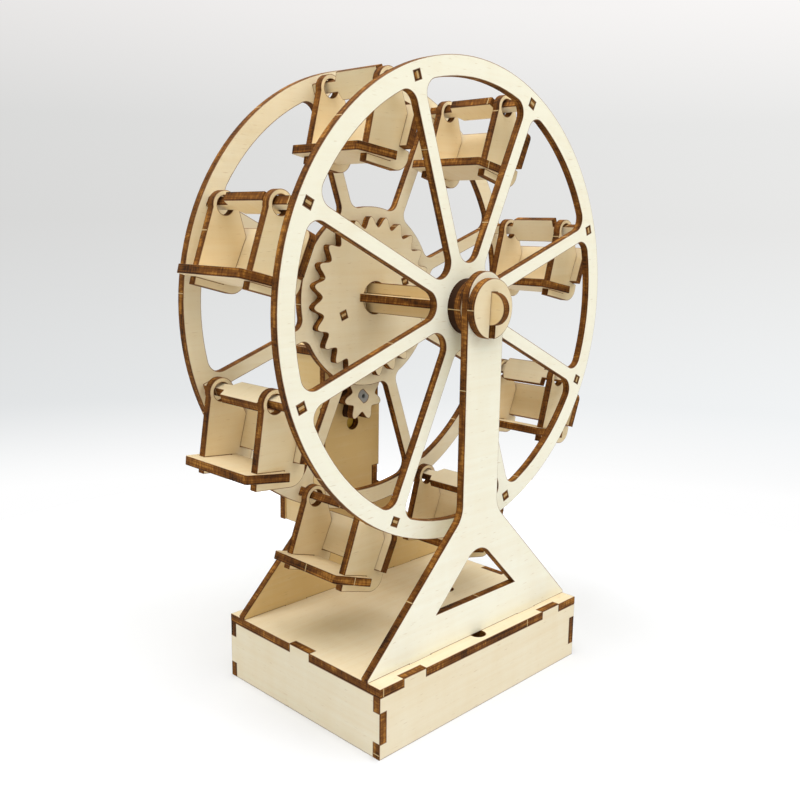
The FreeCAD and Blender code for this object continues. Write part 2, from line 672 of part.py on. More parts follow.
def square_peg(at, start, length, side):
    """A square bar along Y whose sides follow the first spoke."""
    peg = Part.makeBox(side, length, side, V(-side / 2, start, -side / 2))
    peg.rotate(V(0, 0, 0), V(0, 1, 0), -number("first_spoke"))
    peg.translate(at)
    return peg


def wheel_gear(name, first_tip, face):
    plate = wavy_plate(count("gear_teeth"), number("gear_tip"), number("gear_root"), first_tip)
    thick = number("ply")
    bore = Part.makeCylinder(number("gear_bore"), 3 * thick, V(0, -thick, 0), V(0, 1, 0))
    tools = [bore]
    for at in peg_places():
        tools.append(square_peg(at, -thick, 3 * thick, thick + 2 * number("slot_gap")))
    gear = doc.addObject("Part::Feature", name)
    gear.Shape = plate.cut(tools)
    return in_wheel(gear, face)


def gear_pegs():
    feature = doc.addObject("Part::Feature", "gear_pegs")
    length = 3 * number("ply")
    feature.Shape = Part.makeCompound([square_peg(at, 0, length, number("ply"))
                                       for at in peg_places()])
    return in_wheel(feature, "wheel_gap / 2 - ply")


def pinion():
    """Two toothed plates on the motor shaft's flats."""
    radius = number("shaft_radius + slot_gap")
    half_flat = number("shaft_flat / 2 + slot_gap")
    thick = number("ply")
    layers = []
    for layer in range(2):
        plate = wavy_plate(count("pinion_teeth"), number("pinion_tip"), number("pinion_root"),
                           number("pinion_turn"))
        bore = Part.makeCylinder(radius, 3 * thick, V(0, -thick, 0), V(0, 1, 0))
        flats = Part.makeBox(2 * radius, 3 * thick, 2 * half_flat, V(-radius, -thick, -half_flat))
        hole = bore.common(flats)
        hole.rotate(V(0, 0, 0), V(0, 1, 0), -number("shaft_turn"))
        ready = plate.cut(hole)
        ready.translate(V(0, layer * thick, 0))
        layers.append(ready)
    feature = doc.addObject("Part::Feature", "pinion_gear")
    feature.Shape = Part.makeCompound([layer.Solids[0] for layer in layers])
    return place(feature, depth="pinion_face", height="motor_height")


# Wheel

def in_wheel(piece, face, turn="0"):
    """Places a piece of the wheel about the axle, at a depth, as the wheel rests."""
    return place(piece, depth=face, height="axle_height", turn="-(wheel_turn) + " + turn)


def cross_hole(body, plane):
    """The cross-shaped hub hole that keys a wheel to both axle blades."""
    for name, width, height in (("upright", "ply", "2 * blade_half"),
                                ("flat", "2 * blade_half", "ply")):
        sketch = sketch_on(body, plane, name + "_slot")
        draw_rectangle(sketch, "0", "0", width + " + 2 * slot_gap", height + " + 2 * slot_gap")
        pocket(body, sketch)


def wheel_plate(name, hub_radius):
    """Rim, spokes and hub; the spokes are drawn from the first one round."""
    body, plane = new_body(name)
    rim = sketch_on(body, plane, name + "_rim")
    draw_circle(rim, "0", "0", "wheel_radius")
    draw_circle(rim, "0", "0", "window_radius")
    pad(body, rim)
    if hub_radius:
        hub = sketch_on(body, plane, name + "_hub")
        draw_circle(hub, "0", "0", hub_radius)
        spoke_start = "(%s) - spoke_width" % hub_radius
    else:
        hub = None
        spoke_start = "0"
    spoke = sketch_on(body, plane, name + "_spoke")
    draw_polygon(spoke, spoke_corners(spoke_start))
    polar(body, pad(body, spoke), spoke)
    if hub:
        pad(body, hub)
    return body, plane


def spoke_corners(start):
    """A spoke's corners, from a start radius to the middle of the rim."""
    corners = ((start, -1), ("rim_middle", -1), ("rim_middle", 1), (start, 1))
    points = []
    for reach, side in corners:
        half = "%d * spoke_width / 2" % side
        points.append(("(%s) * cos(first_spoke) - %s * sin(first_spoke)" % (reach, half),
                       "(%s) * sin(first_spoke) + %s * cos(first_spoke)" % (reach, half)))
    return points


def rim_holes(body, plane):
    """A square hole beside the rim on each spoke, for a pivot bar's end."""
    sketch = sketch_on(body, plane, "pivot_hole")
    half = "(ply / 2 + slot_gap)"
    points = []
    for out, side in ((-1, -1), (1, -1), (1, 1), (-1, 1)):
        reach = "(pivot_radius + %d * %s)" % (out, half)
        points.append(("%s * cos(first_spoke) - %d * %s * sin(first_spoke)" % (reach, side, half),
                       "%s * sin(first_spoke) + %d * %s * cos(first_spoke)" % (reach, side, half)))
    draw_polygon(sketch, points)
    polar(body, pocket(body, sketch), sketch)


def at_radius(text):
    wanted = number(text)
    return lambda at: abs(math.hypot(at.x, at.z) - wanted) < 0.02


def front_wheel():
    body, plane = wheel_plate("front_wheel", None)
    round_edges(body, "hub_round", at_radius("spoke_apex"))
    round_edges(body, "rim_round", at_radius("window_radius"))
    rim_holes(body, plane)
    cross_hole(body, plane)
    return in_wheel(body, "-wheel_face")


def rear_wheel():
    body, plane = wheel_plate("rear_wheel", "rear_hub_radius")
    round_edges(body, "rear_hub_round", at_radius("rear_hub_radius"))
    round_edges(body, "rim_round", at_radius("window_radius"))
    rim_holes(body, plane)
    cross_hole(body, plane)
    pegs = sketch_on(body, plane, "peg_holes")
    half = "(ply / 2 + slot_gap)"
    for side in (1, -1):
        points = []
        for out, edge in ((-1, -1), (1, -1), (1, 1), (-1, 1)):
            reach = "(%d * peg_place + %d * %s)" % (side, out, half)
            points.append(
                ("%s * cos(first_spoke) - %d * %s * sin(first_spoke)" % (reach, edge, half),
                 "%s * sin(first_spoke) + %d * %s * cos(first_spoke)" % (reach, edge, half)))
        draw_polygon(pegs, points)
    pocket(body, pegs)
    return in_wheel(body, "wheel_gap / 2")


def disc(name, radius, hole, face):
    """A round plate with a round hole."""
    body, plane = new_body(name)
    sketch = sketch_on(body, plane, name + "_outline")
    draw_circle(sketch, "0", "0", radius)
    draw_circle(sketch, "0", "0", hole)
    pad(body, sketch)
    return in_wheel(body, face)


def group(name, pieces):
    compound = doc.addObject("Part::Compound", name + "_group")
    compound.Links = pieces
    return label(compound, name)


def hub_spacers():
    """Two discs in front of the front wheel and one behind the outer gear."""
    hole = "blade_corner + slot_gap"
    faces = ("-(wheel_face + 2 * ply)", "-(wheel_face + ply)", "wheel_face + ply")
    discs = [disc("hub_spacer_%d" % index, "spacer_radius", hole, face)
             for index, face in enumerate(faces, start=1)]
    return group("hub_spacers", discs)


def retaining_disc(name, face, turn):
    """A disc that slides over a blade's tab, with a slot open at one edge."""
    body, plane = new_body(name)
    sketch = sketch_on(body, plane, name + "_outline")
    draw_circle(sketch, "0", "0", "retainer_radius")
    pad(body, sketch)
    slot = sketch_on(body, plane, name + "_slot")
    height = "blade_half + slot_gap + retainer_radius + ply"
    draw_rectangle(slot, "0", "blade_half + slot_gap - (%s) / 2" % height,
                   "ply + 2 * slot_gap", height)
    pocket(body, slot)
    return in_wheel(body, face, turn)


def retaining_discs():
    """One on the upright blade in front, one on the flat blade behind."""
    front = retaining_disc("front_retainer", "front_retainer_face", "0")
    rear = retaining_disc("rear_retainer", "rear_retainer_face", "90")
    return group("retaining_discs", [front, rear])


def upright_blade():
    """The upright axle blade, slit from its rear end to its middle for the flat blade."""
    body, plane = new_body("axle_upright_blade", "YZ_Plane")
    blade = sketch_on(body, plane, "upright_outline")
    front = "front_retainer_face"
    rear = "rear_support_back"
    draw_polygon(blade, [(front, "-blade_half"), (rear, "-blade_half"),
                         (rear, "blade_half"), (front, "blade_half")])
    pad(body, blade, middle=True)
    tab = sketch_on(body, plane, "front_tab")
    draw_circle(tab, front, "0", "blade_half")
    pad(body, tab, middle=True)
    slit = sketch_on(body, plane, "upright_slit")
    length = "%s + ply" % rear
    draw_rectangle(slit, "(%s) / 2" % length, "0", length, "ply + 2 * slot_gap")
    pocket(body, slit)
    return in_wheel(body, "0")


def flat_blade():
    """The flat axle blade, wide between the wheels, slit from its front end to its middle."""
    body, plane = new_body("axle_flat_blade", "XY_Plane")
    blade = sketch_on(body, plane, "flat_outline")
    front = "front_support_face"
    rear = "rear_retainer_face + ply"
    inner_front = "-wheel_gap / 2"
    inner_rear = "wheel_gap / 2 - ply"
    right = [("blade_half", front), ("blade_half", inner_front), ("blade_wide", inner_front),
             ("blade_wide", inner_rear), ("blade_half", inner_rear), ("blade_half", rear)]
    left = [("-" + across, along) for across, along in reversed(right)]
    draw_polygon(blade, right + left)
    pad(body, blade, middle=True)
    tab = sketch_on(body, plane, "rear_tab")
    draw_circle(tab, "0", rear, "blade_half")
    pad(body, tab, middle=True)
    slit = sketch_on(body, plane, "flat_slit")
    length = "-(%s) + ply" % front
    draw_rectangle(slit, "0", "-(%s) / 2" % length, "ply + 2 * slot_gap", length)
    pocket(body, slit)
    return in_wheel(body, "0")


# Gondolas

def pivot(index):
    """Where a gondola's pivot lies, and its angle in the wheel."""
    angle = "(first_spoke + wheel_turn + 360 * %d / spoke_count)" % index
    across = "pivot_radius * cos(%s)" % angle
    height = "axle_height + pivot_radius * sin(%s)" % angle
    return across, height, angle


def listed(values, index):
    """A value of a list that starts again where more spokes are set."""
    return values[index % len(values)]


def tilt_of(index):
    return "%g" % listed(GONDOLA_TILTS, index)


def cabin_middle(index):
    """Where a gondola's middle lies along its bar."""
    return "(cabin_shift - %g * cabin_play)" % listed(GONDOLA_SLIDES, index)


def pivot_bar(index):
    """A flat bar, square in the rims and wide between the side plates, with a sloped rear end."""
    name = "pivot_bar_%d" % (index + 1)
    body, plane = new_body(name, "XY_Plane")
    sketch = sketch_on(body, plane, name + "_outline")
    near_side = "(cabin_shift - cabin_inside + side_gap)"
    far_side = "(cabin_shift + cabin_inside - side_gap - cabin_play)"
    right = [("ply / 2", "-wheel_face"), ("ply / 2", "-wheel_gap / 2"),
             ("neck_half", "-wheel_gap / 2"), ("neck_half", near_side),
             ("bar_half", near_side), ("bar_half", far_side + " - bar_slope"),
             ("neck_half", far_side), ("neck_half", "wheel_gap / 2"),
             ("ply / 2", "wheel_gap / 2"), ("ply / 2", "wheel_face")]
    left = [("-(%s)" % across, along) for across, along in reversed(right)]
    draw_polygon(sketch, right + left)
    pad(body, sketch, middle=True)
    across, height, angle = pivot(index)
    return place(body, across, "0", height, "-(%s + %g)" % (angle, listed(BAR_TURNS, index)))


def side_plate(name, index, face):
    """A hanging side plate: head, floor slot open to the front, and a seat for the back."""
    body, plane = new_body(name)
    sketch = sketch_on(body, plane, name + "_outline")
    slot_end = "floor_wing + slot_gap"
    points = [("-front_edge_top", "-head_drop"), ("-front_edge_low", "-floor_drop + slot_gap"),
              (slot_end, "-floor_drop + slot_gap"), (slot_end, "-floor_drop - ply - slot_gap"),
              ("-front_edge_low", "-floor_drop - ply - slot_gap"),
              ("-front_edge_low", "-skirt_drop"),
              ("skirt_out", "-skirt_drop"), ("skirt_out", "-skirt_top"),
              ("seat_foot_out", "-seat_foot_drop"), ("elbow_out", "-elbow_drop"),
              ("head_radius * cos(head_turn)", "head_radius * sin(head_turn) - hang"),
              ("-head_radius * cos(45)", "head_radius * sin(45) - head_drop / 2 - hang")]
    draw_polygon(sketch, points)
    pad(body, sketch)
    head = sketch_on(body, plane, name + "_head")
    draw_circle(head, "0", "-hang", "head_radius")
    pad(body, head)
    eye = sketch_on(body, plane, name + "_eye")
    draw_circle(eye, "0", "-hang", "eye_radius")
    pocket(body, eye)
    round_edges(body, "skirt_round",
                lambda at: near(at.x, "skirt_out") and near(at.z, "-skirt_drop"))
    round_edges(body, "elbow_round",
                lambda at: near(at.x, "elbow_out") and near(at.z, "-elbow_drop"))
    across, height, angle = pivot(index)
    return place(body, across, face, height, tilt_of(index))


def gondola_floor(name, index):
    """The floor: wings beyond the side plates in front, a narrower tongue between them."""
    body, plane = new_body(name, "XY_Plane")
    sketch = sketch_on(body, plane, name + "_outline", "-floor_drop - ply")
    tongue = "(cabin_inside - slot_gap)"
    wing = "(cabin_width / 2 + wing_out)"
    draw_polygon(sketch, [("-floor_front", "-(cabin_width / 2 + near_corner_out)"),
                          ("floor_wing", "-" + wing), ("floor_wing", "-" + tongue),
                          ("floor_back", "-" + tongue), ("floor_back", tongue),
                          ("floor_wing", tongue), ("floor_wing", wing),
                          ("-floor_front", "cabin_width / 2 + far_corner_out")])
    pad(body, sketch)
    round_edges(body, "floor_round", lambda at: near(at.x, "-floor_front"))
    across, height, angle = pivot(index)
    return place(body, across, cabin_middle(index), height, tilt_of(index))


def gondola_back(name, index):
    """The leaning back plate, seated in the notches of the side plates."""
    body, plane = new_body(name, "YZ_Plane")
    sketch = sketch_on(body, plane, name + "_outline")
    half = "(cabin_width / 2 + back_out)"
    draw_polygon(sketch, [("-" + half, "0"), (half, "0"), (half, "seat_length + back_rise"),
                          ("-" + half, "seat_length + back_rise")])
    pad(body, sketch)
    round_edges(body, "back_round", lambda at: near(at.z, "seat_length + back_rise"))
    across, height, angle = pivot(index)
    tilt = tilt_of(index)
    foot_out = "(seat_foot_out + slot_gap)"
    foot_across = "%s + %s * cos(%s) - seat_foot_drop * sin(%s)" % (across, foot_out, tilt, tilt)
    foot_height = "%s - %s * sin(%s) - seat_foot_drop * cos(%s)" % (height, foot_out, tilt, tilt)
    return place(body, foot_across, cabin_middle(index), foot_height, tilt + " + back_lean")


def gondola(index):
    """Two side plates in one group, a back and a floor."""
    name = "gondola_%d" % (index + 1)
    near_face = cabin_middle(index) + " - cabin_width / 2"
    far_face = cabin_middle(index) + " + cabin_width / 2 - ply"
    sides = [side_plate(name + "_near_side", index, near_face),
             side_plate(name + "_far_side", index, far_face)]
    return [group(name + "_sides", sides), gondola_back(name + "_back", index),
            gondola_floor(name + "_floor", index)]


# Battery case

def battery_case():
    outer = box("case_outer", "case_place", "-case_width / 2", "case_floor",
                "case_length", "case_width", "case_depth")
    inner = box("case_inner", "case_place", "-case_width / 2 + case_wall", "case_floor - case_wall",
                "case_length - 2 * case_wall", "case_width - 2 * case_wall", "case_depth")
    case = label(combine("Cut", "case_piece", outer, inner), "battery_case")
    lid = box("cover_plate", "case_place", "-case_width / 2", "case_floor - case_wall",
              "case_length", "case_width", "case_wall")
    slot = box("cover_slot", "knob_place + switch_travel / 2", "-knob_width / 2 - side_gap",
               "case_floor - 2 * case_wall", "knob_length + switch_travel + 2 * side_gap",
               "knob_width + 2 * side_gap", "3 * case_wall")
    cover = label(combine("Cut", "cover_piece", lid, slot), "battery_cover")
    return [case, cover]


def battery_cells():
    start = "cells_end - cell_length"
    cells = []
    for side in ("-", ""):
        cells.append(rod("cell_" + ("left" if side else "right"), "x", "cell_radius",
                         "cell_length", start, side + "(cell_radius + slot_gap)",
                         "case_floor + cell_radius"))
    return group("battery_cells", cells)


def switch_slider():
    flange = box("switch_flange", "knob_place", "-flange_width / 2", "case_floor",
                 "flange_length", "flange_width", "flange_height")
    knob = box("switch_knob", "knob_place", "-knob_width / 2", "case_floor - case_wall - knob_reach",
               "knob_length", "knob_width", "knob_reach + case_wall + flange_height")
    return label(combine("Fuse", "switch_piece", flange, knob), "switch_slider")


def build():
    pieces = base_box() + [front_support(), rear_support()]
    pieces += [housing_wall("housing_left_wall", -1), housing_wall("housing_right_wall", 1)]
    pieces += [housing_top(), housing_back(), gearbox(), motor_can(), motor_shaft(), pinion()]
    pieces += battery_case() + [battery_cells(), switch_slider()]
    pieces += [front_wheel(), rear_wheel(), upright_blade(), flat_blade(), gear_pegs()]
    teeth = count("gear_teeth")
    mesh = (-90 - (number("pinion_turn") - 90) * count("pinion_teeth") / teeth + 180 / teeth
            - number("wheel_turn"))
    pieces += [wheel_gear("inner_gear", number("first_spoke"), "wheel_gap / 2 - ply"),
               wheel_gear("outer_gear", mesh, "wheel_face")]
    pieces += [hub_spacers(), retaining_discs()]
    for index in range(count("spoke_count")):
        pieces.append(pivot_bar(index))
        pieces += gondola(index)
    doc.recompute()
    return pieces


def check(pieces):
    """Stops on a failed object or a bad shape before anything is written."""
    for item in doc.Objects:
        if "Invalid" in item.State or "Error" in item.State:
            raise RuntimeError("failed object: " + item.Label)
    for piece in pieces:
        if piece.Shape.isNull() or not piece.Shape.isValid() or not piece.Shape.Solids:
            raise RuntimeError("bad shape: " + piece.Label)


def write(pieces):
    os.makedirs("parts", exist_ok=True)
    for piece in pieces:
        piece.Shape.exportStep("parts/%s.step" % piece.Label)
        print("%-22s %2d solids %10.1f mm3" % (piece.Label, len(piece.Shape.Solids),
                                              piece.Shape.Volume))
    print(len(pieces), "nodes")


made = build()
check(made)
write(made)
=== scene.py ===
import json
import math

import bmesh
import bpy
import numpy as np
from mathutils import Matrix, Vector
from mathutils.geometry import delaunay_2d_cdt


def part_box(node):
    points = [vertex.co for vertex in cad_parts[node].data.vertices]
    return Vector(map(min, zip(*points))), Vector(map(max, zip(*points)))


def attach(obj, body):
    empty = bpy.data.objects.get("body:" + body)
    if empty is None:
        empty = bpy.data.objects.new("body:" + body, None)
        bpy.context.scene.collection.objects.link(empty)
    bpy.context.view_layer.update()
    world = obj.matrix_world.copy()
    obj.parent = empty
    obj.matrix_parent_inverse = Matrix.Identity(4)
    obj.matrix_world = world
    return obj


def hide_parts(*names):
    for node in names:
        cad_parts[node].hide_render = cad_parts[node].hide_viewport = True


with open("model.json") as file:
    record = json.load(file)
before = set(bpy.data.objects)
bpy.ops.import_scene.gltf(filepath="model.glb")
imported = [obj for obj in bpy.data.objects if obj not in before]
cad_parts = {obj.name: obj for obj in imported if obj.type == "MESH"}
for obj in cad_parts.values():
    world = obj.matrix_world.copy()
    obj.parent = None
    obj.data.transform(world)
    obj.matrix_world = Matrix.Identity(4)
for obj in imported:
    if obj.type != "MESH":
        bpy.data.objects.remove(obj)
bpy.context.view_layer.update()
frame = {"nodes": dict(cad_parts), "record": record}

MM = 0.001
PLY = 3.0 * MM
PLYWOOD_SLOT = "birch_ply"

# How closely points, levels and directions have to agree
SAME_POINT = 0.002 * MM
SAME_RING_POINT = 0.001 * MM
SAME_LEVEL = 0.02 * MM
SAME_WAY = 0.999
STRAIGHT_ON = 0.999999
SQUARE_CORNER = 0.1
FLAT_PLATE = 0.7
TRIANGLE_GAP = 1e-9
SHARP_ANGLE = math.radians(20)

# The laser cut: its bevel, the smoke beside it and the nicks that held the plates in the sheet
KERF_WIDTH = 0.16 * MM
KERF_DEPTH = 0.10 * MM
KERF_SMOKE = 0.8
SMOKE_WIDTH = 0.33 * MM
MITRE_LIMIT = 0.35
NICK_SPACING = 79.0 * MM
NICK_WIDTH = 0.34 * MM
NICK_JITTER = 0.9
JITTER_MARKS = 3.0

# Where in its patterns a node, each plate of it and each outline of a plate starts
NODE_SHIFT = (0.137, 0.091)
PLATE_SHIFT = (0.043, 0.029)
OUTLINE_SHIFT = 7.3 * MM
BAR_END_PLIES = 3.0

# Patterns in the wood: marks in a metre along and across, layer, detail and roughness
FIBRE = ((14.0, 420.0), 0.0, 4.0, 0.60)
FIGURE = ((150.0, 26.0), 0.0, 3.0, 0.55)
CLOUD = ((22.0, 30.0), 3.0, 2.0, 0.50)
PORES = ((240.0, 1900.0), 7.0, 1.0, 0.50)
SMOKE_PATCH = ((90.0, 90.0), 11.0, 2.0, 0.50)
CHAR_STREAK = ((1100.0, 260.0), 0.0, 3.0, 0.65)
CHAR_PATCH = ((70.0, 300.0), 5.0, 2.0, 0.50)
CHAR_PLY = ((30.0, 1100.0), 9.0, 2.0, 0.50)

# How strongly the veneer's drift, its pores, the nicks and a bar end's bare core show
DRIFT_SHARE = 0.75
PORE_SHARE = 0.35
NICK_SHARE = 0.7
CORE_SHARE = 0.75

# Marks in a metre on the moulded plastics and the plated steel, and how dark the flow marks are
FLOW_MARKS = 55.0
FLOW_SHADE = 0.88
SATIN_MARKS = 2600.0
TURNING_RINGS = 2400.0
STAIN_MARKS = 120.0

# Grip and screw of the battery cover
RIB_COUNT = 8
RIB_SIDES = 14
RIB_SPACING = 1.7 * MM
RIB_LENGTH = 15.0 * MM
RIB_RADIUS = 0.45 * MM
RIBS_INSET = 11.0 * MM
SCREW_INSET = 5.0 * MM
SCREW_SIDES = 40
SCREW_RADIUS = 2.2 * MM
SCREW_HEIGHT = 0.7 * MM
SCREW_RECESS = 1.5 * MM
RECESS_WAIST = 0.3
RECESS_FLOOR_WIDTH = 0.9
RECESS_FLOOR_HEIGHT = 0.3

# Colours, as seen, 0 to 255
# Painted light and shade: the veneer runs from pale, where the front pieces catch the light, to
# warm and dark, where the pieces further back sit in shade; the grain's drift moves along the
# same colours
VENEER_PALE_AND_LIT = (252, 251, 240)
VENEER_WARM_AND_SHADED = (225, 196, 142)
VENEER_PORE = (184, 152, 104)
SMOKE = (132, 86, 42)
CHAR_DARK = (50, 28, 12)
CHAR_BROWN = (112, 68, 26)
CHAR_LIGHT = (176, 122, 56)
BARE_CORE = (214, 184, 134)
NICK_COLOUR = (232, 206, 156)
CASE_BLACK = (30, 30, 31)
KNOB_GREY = (52, 52, 54)
GEARBOX_YELLOW = (206, 168, 44)
SHAFT_GREY = (150, 152, 156)
CELL_GREY = (58, 62, 72)
STEEL_BRIGHT = (186, 187, 188)
STEEL_DULL = (152, 152, 150)
TABLE_COLOUR = (228, 232, 245)
LAMP_COLOUR = (255, 254, 250)
ROOM_COLOUR = (255, 249, 224)

# How warm the sheet is that a node is cut from, by a word in its name, with painted shade in it:
# the front pieces are paler where the light falls, and the pieces further back or inside are
# warmer and darker where shade falls
SHEET_TONE_AND_SHADE = (
    ("front_wheel", 0.02),
    ("front_support", 0.07),
    ("retaining_discs", 0.58),
    ("base_top", 0.52),
    ("base_left_wall", 0.40),
    ("base_", 0.45),
    ("rear_support", 1.00),
    ("housing_", 0.95),
    ("rear_wheel", 0.48),
    ("inner_gear", 0.54),
    ("axle_", 0.85),
    ("_back", 0.62),
    ("gondola_", 0.68),
    ("", 0.50),
)

# The lamps: name, place, width and watts
LAMPS = (
    ("key", (-0.18, -0.28, 0.85), 0.6, 3.1),
    ("right", (0.35, -0.45, 0.75), 0.5, 1.7),
    ("back", (-0.15, 0.15, 0.85), 0.5, 3.0),
)
LAMP_TARGET = (0.0, 0.0, 0.11)
ROOM_LIGHT = 0.58

# The table, and how it whitens away from the object
TABLE_RADIUS = 0.28
TABLE_SIDES = 96
GLOW_NEAR = 0.08
GLOW_GAIN = 0.50
GLOW_START = 0.12
GLOW_END = 0.27

# The backdrop from the table up, and how much lighter it grows from left to right
BACKDROP = (
    (0.235, (255, 255, 255)),
    (0.315, (234, 236, 237)),
    (0.50, (224, 224, 223)),
    (0.60, (226, 226, 225)),
    (0.71, (242, 240, 239)),
)
BACKDROP_SLANT = 0.19
SLANT_START = -0.26
SLANT_END = -0.17

# The camera
PHOTO_WIDTH = 800.0
SENSOR_WIDTH = 36.0
CAMERA_FOCAL = 920.0 / PHOTO_WIDTH * SENSOR_WIDTH
CAMERA_PLACE = Vector((-246.2, -244.6, 172.9)) * MM
CAMERA_AZIMUTH = math.radians(-45.522)
CAMERA_ELEVATION = math.radians(10.913)
CAMERA_ROLL = math.radians(0.797)
CAMERA_NEAR = 0.01
LEVEL_RIGHT = (math.cos(CAMERA_AZIMUTH), math.sin(CAMERA_AZIMUTH), 0.0)


def linear(colour):
    """An 8-bit colour as linear RGBA."""
    def channel(value):
        value /= 255.0
        return value / 12.92 if value <= 0.04045 else ((value + 0.055) / 1.055) ** 2.4
    return tuple(channel(value) for value in colour) + (1.0,)


class Field:
    """A node's output that takes part in plain arithmetic."""

    def __init__(self, tree, socket):
        self.tree = tree
        self.socket = socket

    def output(self, name):
        """Another output of the same node."""
        return Field(self.tree, self.socket.node.outputs[name])

    def math(self, operation, *values):
        numbered = {f"n{number}": value for number, value in enumerate(values)}
        return make_node(self.tree, "ShaderNodeMath", {"operation": operation}, **numbered)

    def __add__(self, other):
        return self.math("ADD", self, other)

    def __radd__(self, other):
        return self.math("ADD", other, self)

    def __sub__(self, other):
        return self.math("SUBTRACT", self, other)

    def __rsub__(self, other):
        return self.math("SUBTRACT", other, self)

    def __mul__(self, other):
        return self.math("MULTIPLY", self, other)

    def __rmul__(self, other):
        return self.math("MULTIPLY", other, self)

    def __truediv__(self, other):
        return self.math("DIVIDE", self, other)

    def __pow__(self, other):
        return self.math("POWER", self, other)

    def __abs__(self):
        return self.math("ABSOLUTE", self)

    def fraction(self):
        return self.math("FRACT", self)

    def clamp(self):
        return self.math("MINIMUM", self.math("MAXIMUM", self, 0.0), 1.0)

    def step(self, low, high):
        """0 below low, 1 above high, smooth between."""
        return make_node(self.tree, "ShaderNodeMapRange", {"interpolation_type": "SMOOTHSTEP"},
                         Value=self, From_Min=low, From_Max=high)

    def mix(self, first, second):
        """A colour between two, by this field."""
        return make_node(self.tree, "ShaderNodeMix", {"data_type": "RGBA"}, 2,
                         n0=self, n6=first, n7=second)


def make_node(tree, kind, settings=None, output=0, **inputs):
    """A node with its settings first, then the values or links of its sockets.

    A socket goes by its name, or by n and its number where names repeat.
    """
    node = tree.nodes.new(kind)
    for name, value in (settings or {}).items():
        if name == "stops":
            set_stops(node.color_ramp.elements, value)
        else:
            setattr(node, name, value)
    for name, value in inputs.items():
        key = int(name[1:]) if name[1:].isdigit() else name.replace("_", " ")
        plug(tree, node.inputs[key], value)
    return Field(tree, node.outputs[output] if len(node.outputs) else None)


def set_stops(stops, wanted):
    while len(stops) < len(wanted):
        stops.new(0.5)
    for stop, (position, colour) in zip(stops, wanted):
        stop.position = position
        stop.color = linear(colour)


def plug(tree, slot, value):
    """Gives a socket a value, a link from a field, or links from a list of fields."""
    sources = value if isinstance(value, list) else [value]
    if isinstance(sources[0], Field):
        for source in sources:
            tree.links.new(source.socket, slot)
    else:
        slot.default_value = value


class Finish:
    """A material being built around one Principled shader."""

    def __init__(self, name):
        self.material = bpy.data.materials.new(name)
        self.material.use_nodes = True
        self.tree = self.material.node_tree
        self.shader = self.tree.nodes["Principled BSDF"]

    def node(self, kind, settings=None, output=0, **inputs):
        return make_node(self.tree, kind, settings, output, **inputs)

    def place(self):
        return self.node("ShaderNodeTexCoord", output="Object")

    def layout(self, name):
        """The two numbers of a UV map, in metres."""
        both = self.node("ShaderNodeUVMap", {"uv_map": name})
        first = self.node("ShaderNodeSeparateXYZ", Vector=both)
        return first, first.output("Y")

    def attribute(self, name):
        return self.node("ShaderNodeAttribute", {"attribute_name": name}, "Fac")

    def vector(self, first, second, third=0.0):
        return self.node("ShaderNodeCombineXYZ", X=first, Y=second, Z=third)

    def noise(self, place, scale=1.0, detail=2.0, roughness=0.5):
        return self.node("ShaderNodeTexNoise", Vector=place, Scale=scale, Detail=detail,
                         Roughness=roughness)

    def pattern(self, first, second, marks):
        """One of the patterns in the wood, laid over the two numbers of a layout."""
        (along, across), layer, detail, roughness = marks
        return self.noise(self.vector(first * along, second * across, layer),
                          detail=detail, roughness=roughness)

    def set(self, name, value):
        plug(self.tree, self.shader.inputs[name], value)

    def bump(self, height, distance, strength):
        self.set("Normal", self.node("ShaderNodeBump", Height=height, Distance=distance,
                                     Strength=strength))


def veneer():
    """Bare birch veneer with fine grain, pores and smoke beside the laser cut, and painted light
    and shade by node.
    """
    finish = Finish("birch_veneer")
    along, across = finish.layout("grain")
    fibre = finish.pattern(along, across, FIBRE)
    figure = finish.pattern(along, across, FIGURE)
    cloud = finish.pattern(along, across, CLOUD)
    pores = finish.pattern(along, across, PORES)

    # The sheet's own tone with the painted shade of its node, and what the patterns add to it or
    # take away
    drift = 0.40 * fibre + 0.25 * figure + 0.45 * cloud - 0.55
    tone = (finish.attribute("warmth") + drift * DRIFT_SHARE).clamp()
    colour = tone.mix(linear(VENEER_PALE_AND_LIT), linear(VENEER_WARM_AND_SHADED))
    colour = (pores.step(0.66, 0.80) * PORE_SHARE).mix(colour, linear(VENEER_PORE))

    # Smoke, stronger in some places than in others
    smoke = finish.attribute("smoke")
    patch = finish.pattern(along, across, SMOKE_PATCH)
    burnt = (smoke ** 1.2 * (0.75 + 0.75 * patch)).clamp()
    finish.set("Base Color", burnt.mix(colour, linear(SMOKE)))
    finish.set("Roughness", 0.58 + 0.12 * fibre)
    finish.set("Specular IOR Level", 0.32)
    finish.bump(fibre * 0.6 + pores * -0.4, 0.06 * MM, 0.5)
    return finish.material


